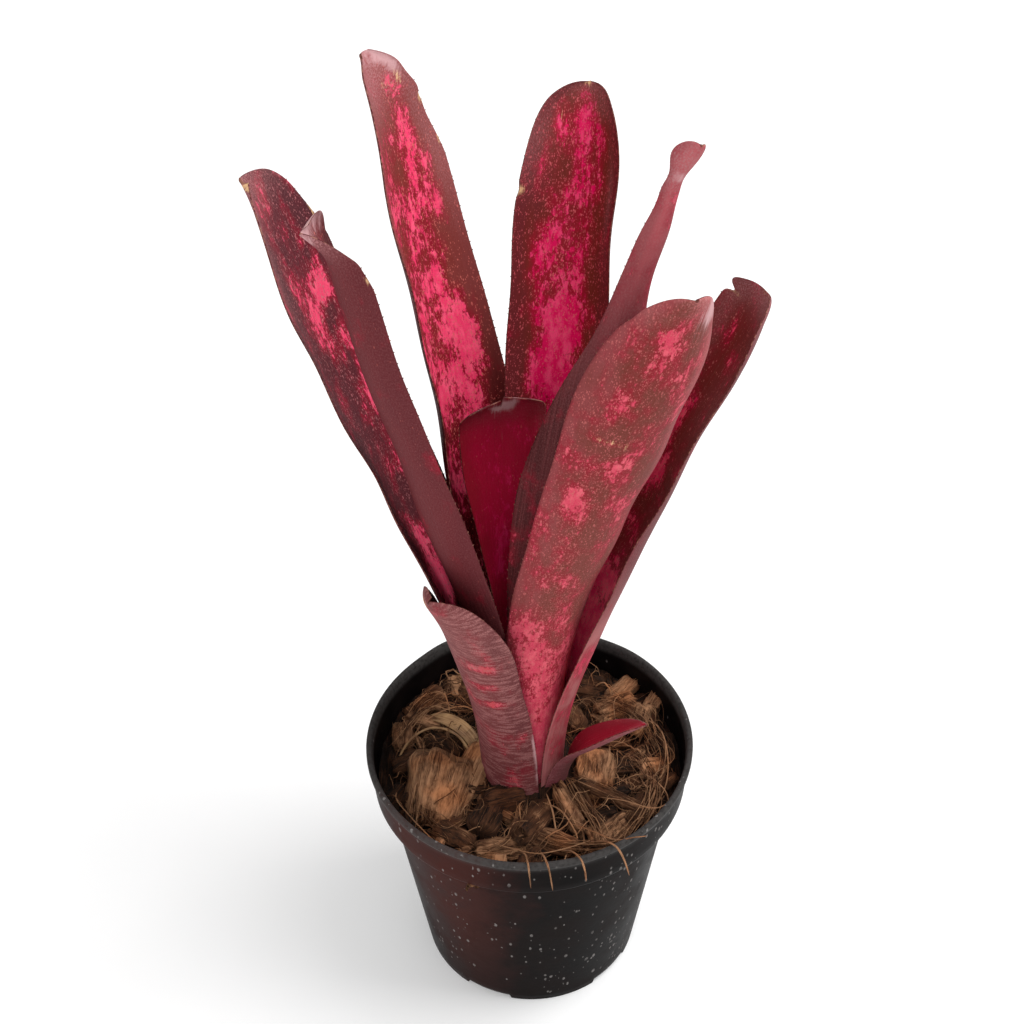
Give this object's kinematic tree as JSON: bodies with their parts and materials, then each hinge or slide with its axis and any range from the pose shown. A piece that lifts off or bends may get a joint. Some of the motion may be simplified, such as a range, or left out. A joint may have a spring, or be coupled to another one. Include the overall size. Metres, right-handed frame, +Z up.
{
  "type": "potted billbergia",
  "caption": "Upright tubular bromeliad with broad spotted strap leaves, standing in husk chips and coir in a thin tapered nursery pot.",
  "frame": {"origin": "on the ground plane under the middle of the whole plant's bounding box", "axes": "+Z up, -Y towards the front, the side that the broad outer leaf faces, +X to the right seen from the front"},
  "size_m": [0.1562, 0.1446, 0.3624],
  "materials": {
    "leaf": "satin, wine red with pink blotches",
    "stem": "matte, pale root stock",
    "husk": "matte, fibrous husk and bark",
    "pot": "semi-gloss, thin black plastic"
  },
  "bodies": {
    "root": {"leaf_left_outer": "leaf", "leaf_left_folded": "leaf", "leaf_back_left": "leaf", "leaf_back": "leaf", "leaf_right_slender": "leaf", "leaf_front_broad": "leaf", "leaf_right": "leaf", "leaf_centre_short": "leaf", "leaf_front_short": "leaf", "leaf_front_low": "leaf", "stem": "stem", "potting_mix": "husk", "pot": "pot"}
  },
  "joints": []
}
